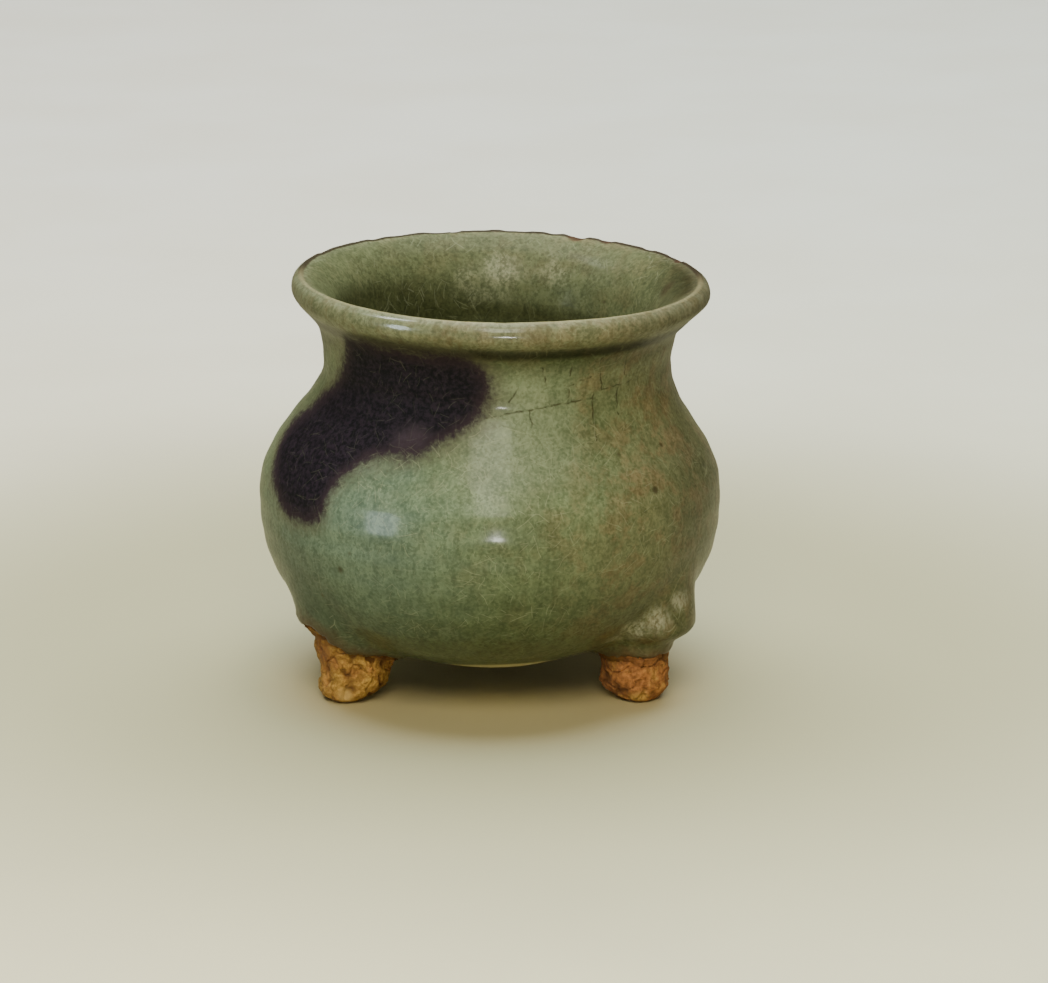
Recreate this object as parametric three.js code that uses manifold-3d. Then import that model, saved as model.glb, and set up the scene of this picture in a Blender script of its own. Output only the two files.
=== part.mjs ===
// Small tripod incense burner: stoneware under a thick opalescent glaze.
// A pot thrown on the wheel stands on three hand-modelled feet, each luted on with slip. The inside was
// glazed by pouring and the outside by dipping, down to a line round each ankle, and a splash of copper
// was brushed into the outer coat before firing.
// Millimetres, +Z up. The origin is on the floor, under the middle of the belly. The front faces -Y.
import * as THREE from "three";
import { mergeVertices } from "three/addons/utils/BufferGeometryUtils.js";
import Module from "manifold-3d";

// Glazed outside of the pot
const baseClearance = 5.4;
const bellyRadius = 40;
const bellyHeight = 33.8;
const bowlFullness = 2.45;
const shoulderFullness = 1.1;
const neckRadius = 29.9;
const neckHeight = 57;
const rimRadius = 36.1;
const rimHeight = 68.2;
const lipRadius = 34.5;
const lipHeight = 71.8;

// How the wall turns outwards, as knots of [share of the way out, share of the way up]. Under the rim they
// run from the neck to the rim's edge, over the rim from its edge to the lip, and in the mouth from the
// throat to the lip.
const underRimKnots = [[0.15, 0.48], [0.46, 0.7]];
const overRimKnot = [0.25, 0.67];
const mouthKnots = [[0.36, 0.5], [1, 0.93]];

// Walls, from glazed face to glazed face
const neckWall = 4.2;
const bellyWall = 4.4;
const floorThickness = 4.8;
const lipThickness = 4.6;

// Coats and joins
const outerGlazeThickness = 1.1;
const innerGlazeThickness = 0.8;
const lipGlazeThickness = 0.6;
const splashThickness = 0.4;
const slipThickness = 0.6;
const joinGap = 0.22;

// Handwork: the neck and rim sit a little off the belly's axis, and the rim dips to the right
const leanStart = 0.48; // as a share of the climb from the belly to the neck
const neckLean = 1.25;
const rimLean = 0.65;
const rimTilt = THREE.MathUtils.degToRad(1.2);

// Feet, on a circle that is a little off centre too. Each knee was shaped by hand, so no two are alike.
// Insets are measured inwards from the belly, and the knee's lift upwards from the underside of the bowl.
const feet = [
  { name: "front_left", angle: 210, kneeLift: 10.3, kneeInset: 8.5 },
  { name: "front_right", angle: 330, kneeLift: 8.4, kneeInset: 8.5 },
  { name: "back", angle: 90, kneeLift: 9.2, kneeInset: 8.4 },
];
const tripodOffset = 0.9;
const ankleInset = 12.7;
const ankleRadius = 5.9;
const soleRadius = 2.4;
const soleSplay = 0.6;
const soleRounding = 5;
const kneeDepth = 7.2;
const kneeWidth = 7.6;
const kneeRise = 14;
const kneeDrop = 5.4;

// Copper splash on the front left shoulder, seen square on, as points round its edge. Each is a share of
// the belly's radius to the right and a share of the climb from the belly to the lip.
const frontAzimuth = 270;
const splashAzimuth = 232;
const splashBlockReach = bellyRadius * 1.2;
const splashSteps = 48;
const splashEdge = [
  [-0.17, 0.78], [0.15, 0.77], [0.45, 0.75], [0.46, 0.57], [0.38, 0.45], [0.24, 0.37], [0.04, 0.32],
  [-0.07, 0.19], [-0.13, 0.06], [-0.29, -0.01], [-0.47, 0.07], [-0.59, 0.19], [-0.61, 0.31], [-0.52, 0.42],
  [-0.36, 0.57], [-0.24, 0.71],
];

// Colour and roughness of each kind of piece
const finishes = {
  stoneware: { color: 0xa8743f, roughness: 0.9 },
  bareClay: { color: 0xa8683a, roughness: 0.95 },
  slip: { color: 0x7a4a30, roughness: 0.95 },
  outerGlaze: { color: 0x7b8a68, roughness: 0.3 },
  innerGlaze: { color: 0x82805a, roughness: 0.3 },
  copperGlaze: { color: 0x2c1f28, roughness: 0.3 },
};

// Fineness of the faceted solids
const turnSteps = 36;
const bowlSteps = 8;
const shoulderSteps = 6;
const rimSteps = 8;
const throatSteps = 5;
const footSteps = 20;
const soleSteps = 4;
const weldDistance = 1e-4;

const wasm = await Module();
wasm.setup();

// Turns a closed geometry into a solid: shared corners are welded, and collapsed triangles are dropped.
function toSolid(geometry) {
  const bare = geometry.clone();
  bare.deleteAttribute("normal");
  bare.deleteAttribute("uv");
  const welded = mergeVertices(bare, weldDistance);
  const corners = welded.index.array;
  const triangles = [];
  for (let i = 0; i < corners.length; i += 3) {
    const [a, b, c] = corners.slice(i, i + 3);
    if (a !== b && b !== c && c !== a) triangles.push(a, b, c);
  }
  return new wasm.Manifold(
    new wasm.Mesh({
      numProp: 3,
      vertProperties: welded.getAttribute("position").array,
      triVerts: new Uint32Array(triangles),
    }),
  );
}

function toMesh(name, solid, finish) {
  const { vertProperties, triVerts } = solid.getMesh();
  const geometry = new THREE.BufferGeometry();
  geometry.setAttribute("position", new THREE.BufferAttribute(vertProperties, 3));
  geometry.setIndex(new THREE.BufferAttribute(triVerts, 1));
  geometry.computeVertexNormals();
  const mesh = new THREE.Mesh(geometry, new THREE.MeshStandardMaterial({ ...finish, metalness: 0 }));
  mesh.name = name;
  return mesh;
}

// Half outlines of the pot, as points of radius and height

// A full round bowl from the axis out to its widest point: a quarter of a superellipse.
function bowlOutline(radius, floorHeight) {
  const points = [new THREE.Vector2(0, floorHeight)];
  for (let i = 1; i < bowlSteps; i++) {
    const turn = ((i / bowlSteps) * Math.PI) / 2;
    const across = Math.sin(turn) ** (2 / bowlFullness);
    const down = Math.cos(turn) ** (2 / bowlFullness);
    points.push(new THREE.Vector2(radius * across, bellyHeight - (bellyHeight - floorHeight) * down));
  }
  points.push(new THREE.Vector2(radius, bellyHeight));
  return points;
}

// The S-shaped shoulder from the widest point up to the neck.
function shoulderOutline(widestRadius, narrowestRadius) {
  const points = [];
  for (let i = 1; i <= shoulderSteps; i++) {
    const climb = i / shoulderSteps;
    const share = (1 + Math.cos(Math.PI * climb ** shoulderFullness)) / 2;
    const radius = THREE.MathUtils.lerp(narrowestRadius, widestRadius, share);
    points.push(new THREE.Vector2(radius, THREE.MathUtils.lerp(bellyHeight, neckHeight, climb)));
  }
  return points;
}

// The point that lies a given share of the way out and up between two others.
function between(from, to, [out, up]) {
  return new THREE.Vector2(THREE.MathUtils.lerp(from.x, to.x, out), THREE.MathUtils.lerp(from.y, to.y, up));
}

function outerOutline() {
  const neck = new THREE.Vector2(neckRadius, neckHeight);
  const rim = new THREE.Vector2(rimRadius, rimHeight);
  const lip = new THREE.Vector2(lipRadius, lipHeight);
  const underRim = underRimKnots.map((knot) => between(neck, rim, knot));
  const rimLine = new THREE.SplineCurve([neck, ...underRim, rim, between(rim, lip, overRimKnot), lip]);
  return [
    ...bowlOutline(bellyRadius, baseClearance),
    ...shoulderOutline(bellyRadius, neckRadius),
    ...rimLine.getPoints(rimSteps).slice(1),
  ];
}

function innerOutline() {
  const throat = new THREE.Vector2(neckRadius - neckWall, neckHeight);
  const mouth = new THREE.Vector2(rimRadius - lipThickness, lipHeight);
  const lip = new THREE.Vector2(lipRadius, lipHeight);
  const mouthLine = new THREE.SplineCurve([
    throat,
    ...mouthKnots.map((knot) => between(throat, mouth, knot)),
    lip,
  ]);
  return [
    ...bowlOutline(bellyRadius - bellyWall, baseClearance + floorThickness),
    ...shoulderOutline(bellyRadius - bellyWall, throat.x),
    ...mouthLine.getPoints(throatSteps).slice(1),
  ];
}

// The whole wall in one line, from the axis under the pot, over the lip, to the axis on its floor.
const lipIndex = outerOutline().length - 1;
const wallLine = [...outerOutline(), ...innerOutline().reverse().slice(1)];

// The wall line moved into the clay by depth(height). Its ends stay on the axis.
function sunkLine(depth) {
  return wallLine.map((point, i) => {
    if (i === 0) return new THREE.Vector2(0, point.y + depth(point.y));
    if (i === wallLine.length - 1) return new THREE.Vector2(0, point.y - depth(point.y));
    const along = wallLine[i + 1].clone().sub(wallLine[i - 1]).normalize();
    return point.clone().addScaledVector(new THREE.Vector2(-along.y, along.x), depth(point.y));
  });
}

// The wall line outside or inside the lip, which belongs to both.
function outsideLine(depth) {
  return sunkLine(depth).slice(0, lipIndex + 1);
}

function insideLine(depth) {
  return sunkLine(depth).slice(lipIndex);
}

// A coat thins over the lip, where it runs off in the kiln.
function coatThickness(height, fullThickness) {
  const overLip = THREE.MathUtils.smoothstep(height, neckHeight, lipHeight);
  return THREE.MathUtils.lerp(fullThickness, lipGlazeThickness, overLip);
}

const surfaceDepth = () => 0;
const outerGlazeDepth = (height) => coatThickness(height, outerGlazeThickness);
const innerGlazeDepth = (height) => coatThickness(height, innerGlazeThickness);
const outerClayDepth = (height) => outerGlazeDepth(height) + joinGap;
const innerClayDepth = (height) => innerGlazeDepth(height) + joinGap;

// A solid of revolution about Z, from an outline with both ends on the axis or closed on itself.
function turned(outline, steps) {
  return new THREE.LatheGeometry(outline, steps).rotateX(Math.PI / 2);
}

const leanFoot = THREE.MathUtils.lerp(bellyHeight, neckHeight, leanStart);

// The same with the potter's lean and the dipping rim.
function thrownSolid(outline) {
  const geometry = turned(outline, turnSteps);
  const position = geometry.getAttribute("position");
  for (let i = 0; i < position.count; i++) {
    const x = position.getX(i);
    const z = position.getZ(i);
    const neckShare = THREE.MathUtils.smoothstep(z, leanFoot, neckHeight);
    const rimShare = THREE.MathUtils.smoothstep(z, neckHeight, lipHeight);
    position.setX(i, x + neckLean * neckShare + rimLean * rimShare);
    position.setZ(i, z - Math.tan(rimTilt) * x * rimShare);
  }
  return toSolid(geometry);
}

// The pot as if it were solid, with its outside sunk by a depth.
function potPlug(depth) {
  const outside = outsideLine(depth);
  return thrownSolid([...outside, new THREE.Vector2(0, outside[lipIndex].y)]);
}

// Foot shapes in the foot's own frame, with +X pointing away from the middle of the tripod. Swell moves
// their faces outwards, or inwards where it is negative.
function ankleSolid(foot, swell) {
  const top = baseClearance + foot.kneeLift;
  const outline = [new THREE.Vector2(0, 0)];
  for (let i = 0; i <= soleSteps; i++) {
    const turn = ((i / soleSteps) * Math.PI) / 2;
    const radius = THREE.MathUtils.lerp(soleRadius, ankleRadius, Math.sin(turn));
    outline.push(new THREE.Vector2(radius + swell, soleRounding * (1 - Math.cos(turn))));
  }
  outline.push(new THREE.Vector2(ankleRadius + swell, top));
  outline.push(new THREE.Vector2(0, top));
  const geometry = turned(outline, footSteps);
  const position = geometry.getAttribute("position");
  for (let i = 0; i < position.count; i++) {
    const splay = soleSplay * (1 - position.getZ(i) / top);
    position.setX(i, position.getX(i) + bellyRadius - ankleInset + splay);
  }
  return toSolid(geometry);
}

// A knee is a ball drawn up into a post where it runs into the bowl.
function kneeSolid(foot, swell) {
  const ball = new THREE.SphereGeometry(1, footSteps, footSteps / 2).rotateX(Math.PI / 2);
  ball.scale(kneeDepth + swell, kneeWidth + swell, kneeDrop + swell);
  const position = ball.getAttribute("position");
  const stretch = (kneeRise + swell) / (kneeDrop + swell);
  for (let i = 0; i < position.count; i++) {
    const z = position.getZ(i);
    position.setZ(i, z > 0 ? z * stretch : z);
  }
  return toSolid(ball.translate(bellyRadius - foot.kneeInset, 0, baseClearance + foot.kneeLift));
}

function inPlace(solid, foot) {
  return solid.rotate([0, 0, foot.angle]).translate([tripodOffset, 0, 0]);
}

// The clay of a foot: its bare ankle and the core of its glazed knee.
const kneeClayDepth = outerGlazeThickness + joinGap;

function footClay(foot, shrink) {
  return inPlace(ankleSolid(foot, -shrink).add(kneeSolid(foot, -kneeClayDepth - shrink)), foot);
}

// A straight-sided block with the splash's outline, running outwards from the axis past the belly.
function splashBlock(swell) {
  const corners = splashEdge.map(([across, climb]) => {
    return new THREE.Vector3(bellyRadius * across, THREE.MathUtils.lerp(bellyHeight, lipHeight, climb), 0);
  });
  const loop = new THREE.CatmullRomCurve3(corners, true);
  const edge = [];
  for (let i = 0; i < splashSteps; i++) {
    const point = loop.getPoint(i / splashSteps);
    const along = loop.getTangent(i / splashSteps);
    edge.push(new THREE.Vector2(point.x - along.y * swell, point.y + along.x * swell));
  }
  const block = new THREE.ExtrudeGeometry(new THREE.Shape(edge), {
    depth: splashBlockReach,
    bevelEnabled: false,
  });
  return toSolid(block.rotateX(Math.PI / 2)).rotate([0, 0, splashAzimuth - frontAzimuth]);
}

// Pieces
function thrownBody() {
  const clay = [...outsideLine(outerClayDepth), ...insideLine(innerClayDepth)];
  return toMesh("thrown_body", thrownSolid(clay), finishes.stoneware);
}

function innerGlaze() {
  const coat = [...insideLine(innerGlazeDepth).reverse(), ...insideLine(surfaceDepth)];
  return toMesh("inner_glaze", thrownSolid(coat), finishes.innerGlaze);
}

const slipTopDepth = outerGlazeThickness;
const slipUnderDepth = slipTopDepth - slipThickness;
const footTopDepth = slipUnderDepth - joinGap;

function footPiece(foot) {
  const clay = footClay(foot, 0).subtract(potPlug(() => footTopDepth));
  return toMesh(`foot_${foot.name}`, clay, finishes.bareClay);
}

function slipPad(foot) {
  const pad = footClay(foot, joinGap).intersect(potPlug(() => slipUnderDepth));
  return toMesh(`slip_${foot.name}`, pad.subtract(potPlug(() => slipTopDepth)), finishes.slip);
}

function outerGlaze() {
  const coat = [...outsideLine(surfaceDepth), ...outsideLine(outerGlazeDepth).reverse()];
  let glaze = thrownSolid(coat);
  const middleOfCoat = potPlug(() => outerGlazeThickness / 2);
  for (const foot of feet) {
    const knee = inPlace(kneeSolid(foot, 0), foot).subtract(middleOfCoat);
    const hole = inPlace(ankleSolid(foot, joinGap).add(kneeSolid(foot, -outerGlazeThickness)), foot);
    glaze = glaze.add(knee).subtract(hole);
  }
  const recess = splashBlock(joinGap).subtract(potPlug(() => splashThickness + joinGap));
  return toMesh("outer_glaze", glaze.subtract(recess), finishes.outerGlaze);
}

function purpleSplash() {
  const patch = splashBlock(0).intersect(potPlug(surfaceDepth)).subtract(potPlug(() => splashThickness));
  return toMesh("purple_splash", patch, finishes.copperGlaze);
}

const burner = new THREE.Group();
burner.add(thrownBody(), innerGlaze(), outerGlaze(), purpleSplash());
for (const foot of feet) {
  burner.add(footPiece(foot), slipPad(foot));
}

export default burner;
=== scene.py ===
# %% [markdown]
# # A small tripod incense burner in thick green glaze
# A potter throws the pot on a wheel, lutes three feet under it, pours glaze into it and dips it. Most of
# what the eye sees is one skin of glaze, so the lesson builds that skin as one smooth grid of points,
# then the rough clay feet that stand out of it, then the finishes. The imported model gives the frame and
# the size, and nothing is fitted afterwards.

# %% Frame, units and size
import math

import bpy
import numpy as np
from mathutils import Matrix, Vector, noise


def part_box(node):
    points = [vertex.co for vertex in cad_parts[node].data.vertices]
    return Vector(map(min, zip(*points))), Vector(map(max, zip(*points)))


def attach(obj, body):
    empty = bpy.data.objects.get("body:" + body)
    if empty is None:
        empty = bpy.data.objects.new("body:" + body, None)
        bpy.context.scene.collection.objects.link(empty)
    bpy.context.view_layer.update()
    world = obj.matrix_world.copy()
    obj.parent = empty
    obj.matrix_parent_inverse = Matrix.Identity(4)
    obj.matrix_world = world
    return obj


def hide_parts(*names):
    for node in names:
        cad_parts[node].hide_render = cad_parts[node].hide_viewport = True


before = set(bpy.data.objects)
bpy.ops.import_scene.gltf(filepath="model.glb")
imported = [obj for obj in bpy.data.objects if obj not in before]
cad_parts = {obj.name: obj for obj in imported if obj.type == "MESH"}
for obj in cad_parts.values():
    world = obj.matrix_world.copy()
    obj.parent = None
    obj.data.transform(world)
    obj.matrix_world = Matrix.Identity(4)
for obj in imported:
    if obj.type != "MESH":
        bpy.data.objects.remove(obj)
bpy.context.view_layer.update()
MM = 0.001

glaze_low, glaze_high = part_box("outer_glaze")
belly_radius = (glaze_high.x - glaze_low.x) / 2 / MM
print("belly radius in mm:", round(belly_radius, 2))

# %% [markdown]
# The camera stands where the photograph was taken from, a little above the rim and 0.8 m away. It comes
# first, so that everything made later can be looked at from there. How open the mouth's ellipse looks
# depends on the camera's height and distance, so these are as much a part of the likeness as any shape.

# %% Camera
photo_width = 1048
focal_pixels = 4594
sensor_width = 36
view_distance = 800 * MM
view_elevation = math.radians(15.5)
view_target = Vector((5.89, 0, 32.87)) * MM

camera = bpy.data.objects.new("camera", bpy.data.cameras.new("camera"))
bpy.context.scene.collection.objects.link(camera)
towards_camera = Vector((0, -math.cos(view_elevation), math.sin(view_elevation)))
camera.location = view_target + towards_camera * view_distance
camera.rotation_euler = (math.pi / 2 - view_elevation, 0, 0)
camera.data.sensor_fit = "HORIZONTAL"
camera.data.sensor_width = sensor_width
camera.data.lens = sensor_width * focal_pixels / photo_width
bpy.context.scene.camera = camera

# %% [markdown]
# The pot's section is one line: from the axis under the bowl, out round the belly, up the shoulder and
# the neck, over the rolled rim, and down the inside to the middle of the floor. The bowl is a quarter of
# a superellipse, which is fuller than a circle and gives the low, heavy look. The shoulder is half a
# cosine wave. Only the rim needs points listed one by one, and a smooth curve runs through them.

# %% The pot's section, in millimetres
base_clearance = 5.4
belly_height = 33.8
bowl_fullness = 2.45
shoulder_fullness = 1.1
neck_radius = 29.9
neck_height = 57.0
rim_radius = 36.0
rim_height = 69.0
lip_radius = 34.4
lip_height = 71.6
throat_radius = 25.7
mouth_radius = 31.6
inner_belly_radius = belly_radius - 4.4
inner_floor_height = 10.2


def bowl_line(radius, floor_height, steps):
    turn = np.linspace(0, math.pi / 2, steps)
    across = np.sin(turn) ** (2 / bowl_fullness)
    down = np.cos(turn) ** (2 / bowl_fullness)
    return np.stack([radius * across, belly_height - (belly_height - floor_height) * down], 1)


def shoulder_line(widest, narrowest, steps):
    climb = np.linspace(0, 1, steps)
    share = (1 + np.cos(math.pi * climb**shoulder_fullness)) / 2
    heights = belly_height + (neck_height - belly_height) * climb
    return np.stack([narrowest + (widest - narrowest) * share, heights], 1)


def smooth_line(knots, steps):
    """A Catmull-Rom curve through the knots, with its ends doubled."""
    knots = np.array(knots, float)
    padded = np.vstack([knots[:1], knots, knots[-1:]])
    points = []
    for position in np.linspace(0, len(knots) - 1, steps):
        start = min(int(position), len(knots) - 2)
        t = position - start
        a, b, c, d = padded[start : start + 4]
        curve = 2 * b + (c - a) * t + (2 * a - 5 * b + 4 * c - d) * t**2 + (3 * b - a - 3 * c + d) * t**3
        points.append(curve / 2)
    return np.array(points)


outer_rim_knots = [
    (neck_radius, neck_height),
    (neck_radius + 0.85, neck_height + 5.2),
    (neck_radius + 3.1, neck_height + 8.4),
    (rim_radius - 0.7, rim_height - 1.3),
    (rim_radius, rim_height),
    (lip_radius + 1.2, lip_height - 1.0),
    (lip_radius, lip_height),
]
inner_rim_knots = [
    (lip_radius, lip_height),
    (mouth_radius, lip_height - 1.4),
    (throat_radius + 2.9, neck_height + 10.2),
    (throat_radius + 0.9, neck_height + 5.5),
    (throat_radius, neck_height),
]


def even_line(line, spacing):
    """The same line with its points at even steps along it."""
    steps = np.linalg.norm(np.diff(line, axis=0), axis=1)
    along = np.concatenate([[0], np.cumsum(steps)])
    places = np.linspace(0, along[-1], int(along[-1] / spacing) + 1)
    return np.stack([np.interp(places, along, line[:, axis]) for axis in range(2)], 1)


fine = 160
outer_line = np.vstack([
    bowl_line(belly_radius, base_clearance, fine),
    shoulder_line(belly_radius, neck_radius, fine)[1:],
    smooth_line(outer_rim_knots, fine)[1:],
])
inner_line = np.vstack([
    smooth_line(inner_rim_knots, fine),
    shoulder_line(inner_belly_radius, throat_radius, fine)[::-1][1:],
    bowl_line(inner_belly_radius, inner_floor_height, fine)[::-1][1:],
])

row_spacing = 0.42
columns = 480
outer_rows = even_line(outer_line, row_spacing)
inner_rows = even_line(inner_line, row_spacing)
section = np.vstack([outer_rows, inner_rows[1:]])
lip_row = len(outer_rows) - 1
print("rows in the section:", len(section), "lip at row", lip_row)

# %% [markdown]
# No thrown pot is a perfect lathe turning. This one's neck sits about a millimetre off the belly's axis
# and its rim dips to the right. Both are moves of whole rings, eased in from ring to ring, so the skin
# stays smooth.

# %% From section to rings
lean_start = 0.48
neck_lean = 1.25
rim_lean = 0.65
rim_tilt = math.radians(1.2)
rim_dip = math.radians(0.55)


def eased(value, low, high):
    share = np.clip((value - low) / (high - low), 0, 1)
    return share * share * (3 - 2 * share)


def lean_at(height):
    lean_foot = belly_height + (neck_height - belly_height) * lean_start
    at_neck = neck_lean * eased(height, lean_foot, neck_height)
    return at_neck + rim_lean * eased(height, neck_height, lip_height)


azimuths = np.linspace(0, 2 * math.pi, columns, endpoint=False)
radius = section[:, 0][:, None]
height = section[:, 1][:, None]
ring_x = radius * np.cos(azimuths)
ring_y = radius * np.sin(azimuths)
rim_slope = ring_y * math.tan(rim_dip) - ring_x * math.tan(rim_tilt)
skin = np.stack([
    ring_x + lean_at(height),
    ring_y,
    height + rim_slope * eased(height, neck_height, lip_height),
], 2)


def grid_normals(grid):
    around = np.roll(grid, -1, 1) - np.roll(grid, 1, 1)
    along = np.gradient(grid, axis=0)
    normals = np.cross(around, along)
    normals[0] = (0, 0, -1)
    normals[-1] = (0, 0, 1)
    return normals / np.maximum(np.linalg.norm(normals, axis=2, keepdims=True), 1e-9)


skin_normals = grid_normals(skin)

# %% [markdown]
# Each foot swells out of the bowl as a glazed knee and narrows to a post. Rather than join meshes and live
# with creases, the bowl, the knees and the posts are given as distances: each says how far a point lies
# outside it. A smooth minimum of the three is one flowing surface, and both the glaze and the clay feet
# take their shape from it.

# %% Knees and posts, as distances in millimetres
ankle_circle = belly_radius - 12.1
ankle_radius = 6.1
tripod_offset = 0.9
knee_depth = 7.0
knee_width = 7.4
knee_rise = 14.0
# Each knee was shaped one by one: how far in from the belly it sits, how high, and how far it hangs down
feet = {
    "front_left": dict(azimuth=210, knee_height=17.3, inset=9.3, drop=7.4, blend=4.0, post_blend=5.0),
    "front_right": dict(azimuth=330, knee_height=14.4, inset=8.3, drop=3.4, blend=2.8, post_blend=3.2),
    "back": dict(azimuth=90, knee_height=14.6, inset=8.5, drop=5.0, blend=4.0, post_blend=4.5),
}
for foot in feet.values():
    foot["knee_circle"] = belly_radius - foot["inset"]


def foot_frame(points, foot):
    """Points seen from a foot: outwards from the tripod's middle, sideways and up."""
    turn = math.radians(foot["azimuth"])
    x = points[..., 0] - tripod_offset
    y = points[..., 1]
    out = x * math.cos(turn) + y * math.sin(turn)
    side = y * math.cos(turn) - x * math.sin(turn)
    return out, side, points[..., 2]


def knee_distance(points, foot):
    out, side, up = foot_frame(points, foot)
    up = up - foot["knee_height"]
    reach = np.where(up > 0, knee_rise, foot["drop"])
    offset = np.stack([out - foot["knee_circle"], side, up], -1)
    scale = np.stack([np.full_like(reach, knee_depth), np.full_like(reach, knee_width), reach], -1)
    level = np.linalg.norm(offset / scale, axis=-1)
    slope = np.linalg.norm(offset / scale**2, axis=-1)
    return level * (level - 1) / np.maximum(slope, 1e-6)


def post_distance(points, foot, cut_height):
    """An upright post that is cut off flat at a height and runs up into the bowl."""
    out, side, up = foot_frame(points, foot)
    beside = np.hypot(out - ankle_circle, side) - ankle_radius
    below = cut_height - up
    corner = np.hypot(np.maximum(beside, 0), np.maximum(below, 0))
    return corner + np.minimum(np.maximum(beside, below), 0)


# Distance to the bowl is worked out once on a fine sheet of places in its section, then looked up.
sheet_step = 0.25
sheet_radii = np.arange(0, belly_radius + 8, sheet_step)
sheet_heights = np.arange(-2, belly_height, sheet_step)


def bowl_sheet():
    section_line = bowl_line(belly_radius, base_clearance, 400)
    tangents = np.gradient(section_line, axis=0)
    outwards = np.stack([tangents[:, 1], -tangents[:, 0]], 1)
    outwards /= np.linalg.norm(outwards, axis=1, keepdims=True)
    places = np.stack(np.meshgrid(sheet_radii, sheet_heights, indexing="ij"), -1).reshape(-1, 2)
    gaps = ((places[:, None, :] - section_line) ** 2).sum(2)
    nearest = gaps.argmin(1)
    signed = ((places - section_line[nearest]) * outwards[nearest]).sum(1)
    return signed.reshape(len(sheet_radii), len(sheet_heights))


bowl_distances = bowl_sheet()


def bowl_distance(points):
    across = np.hypot(points[..., 0], points[..., 1])
    column = np.clip((across - sheet_radii[0]) / sheet_step, 0, len(sheet_radii) - 1.001)
    row = np.clip((points[..., 2] - sheet_heights[0]) / sheet_step, 0, len(sheet_heights) - 1.001)
    i = column.astype(int)
    j = row.astype(int)
    s = column - i
    t = row - j
    low = bowl_distances[i, j] * (1 - s) + bowl_distances[i + 1, j] * s
    high = bowl_distances[i, j + 1] * (1 - s) + bowl_distances[i + 1, j + 1] * s
    return low * (1 - t) + high * t


def smooth_min(a, b, blend):
    overlap = np.maximum(blend - np.abs(a - b), 0) / blend
    return np.minimum(a, b) - overlap * overlap * blend / 4


def foot_surface(points, foot, bowl, cut_height):
    body = smooth_min(bowl, knee_distance(points, foot), foot["blend"])
    return smooth_min(body, post_distance(points, foot, cut_height), foot["post_blend"])


# %% [markdown]
# Now every point of the skin slides out along its own normal, a small step at a time, until it is outside
# that surface. The skin stays one clean grid, so highlights run over the knee without a break.

# %% Sliding the skin out over the knees
glaze_cut_height = 6.2
slide_step = 0.5
slide_limit = 9.0
knee_zone = 20
knee_zone_top = 38
knee_zone_shift = 3


def slide_out(points, directions, distance_at, step, limit):
    """How far each point goes along its direction before the distance turns positive."""
    gone = np.zeros(points.shape[:-1])
    moving = np.ones(points.shape[:-1], bool)
    for stride in range(int(limit / step)):
        moving &= distance_at(points + directions * (gone + step)[..., None], gone + step) < 0
        gone = np.where(moving, gone + step, gone)
    for halving in range(8):
        step = step / 2
        inside = distance_at(points + directions * (gone + step)[..., None], gone + step) < 0
        gone = np.where(inside, gone + step, gone)
    return gone


knee_swell = np.zeros(skin.shape[:2])
for foot in feet.values():
    out, side, up = foot_frame(skin, foot)
    from_knee = np.hypot(out - foot["knee_circle"] + knee_zone_shift, side)
    close = (from_knee < knee_zone) & (up < knee_zone_top)
    close[lip_row:] = False
    start_points = skin[close]
    swell = slide_out(
        start_points,
        skin_normals[close],
        lambda points, gone: foot_surface(points, foot, gone, glaze_cut_height),
        slide_step,
        slide_limit,
    )
    knee_swell[close] = np.maximum(knee_swell[close], swell)
skin = skin + skin_normals * knee_swell[..., None]
print("highest knee swell in mm:", round(float(knee_swell.max()), 2))

# %% [markdown]
# The glaze stops short of the soles, so that the burner doesn't stick to the kiln shelf. Its edge is a
# thick wavering roll, at its own height and slope on each foot. Clay is bare only where the surface also
# stands off the bowl, so the bowl between the feet keeps its coat. Distance to that edge is worked out for
# every point of the skin: beyond it the skin dives under the clay, just before it the skin swells into the
# roll, and the finish reads it as well.

# %% Glaze line
roll_height = 0.3
roll_width = 0.7
dive_depth = 1.7
glaze_lines = {
    "front_left": dict(height=9.3, slope=0.16, flick=0.7),
    "front_right": dict(height=8.5, slope=0.03, flick=0.0),
    "back": dict(height=8.4, slope=0.1, flick=0.3),
}
flick_from = 4.5
foot_zone = 12.0
stand_off = 0.7
stand_slope = 3.0
far_cover = 50.0
bare_top = 22
wander_sizes = [(3.1, 0.5, 0.0), (1.2, 0.4, 7.0)]


def small_noise(points, size, seed=0.0):
    flat = points.reshape(-1, 3) / size
    values = [noise.noise(Vector((x + seed, y - seed, z))) for x, y, z in flat.tolist()]
    return np.array(values).reshape(points.shape[:-1])


def glaze_cover(points):
    """Millimetres from the glaze's edge, positive on the glaze. High up it is far_cover everywhere."""
    cover = np.full(points.shape[:-1], far_cover)
    low = points[..., 2] < bare_top
    near = points[low]
    wander = sum(amount * small_noise(near, size, seed) for size, amount, seed in wander_sizes)
    near_bowl = (stand_off - bowl_distance(near)) * stand_slope
    nearest = np.full(len(near), far_cover)
    for name, foot in feet.items():
        line = glaze_lines[name]
        out, side, up = foot_frame(near, foot)
        out = out - ankle_circle
        climb = line["slope"] * out + line["flick"] * np.maximum(out - flick_from, 0)
        above = up - line["height"] - climb
        beyond = np.hypot(out, side) - foot_zone
        off_bowl = near_bowl + np.maximum(beyond + 4, 0)
        nearest = np.minimum(nearest, np.maximum(np.maximum(above, beyond), off_bowl))
    cover[low] = nearest + wander
    return cover


cover = glaze_cover(skin)
cover[lip_row + 1 :] = far_cover
edge_sink = -dive_depth * (1 - eased(cover, -1.0, 0.15))
edge_roll = roll_height * np.exp(-(((cover - 0.95) / roll_width) ** 2))

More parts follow.
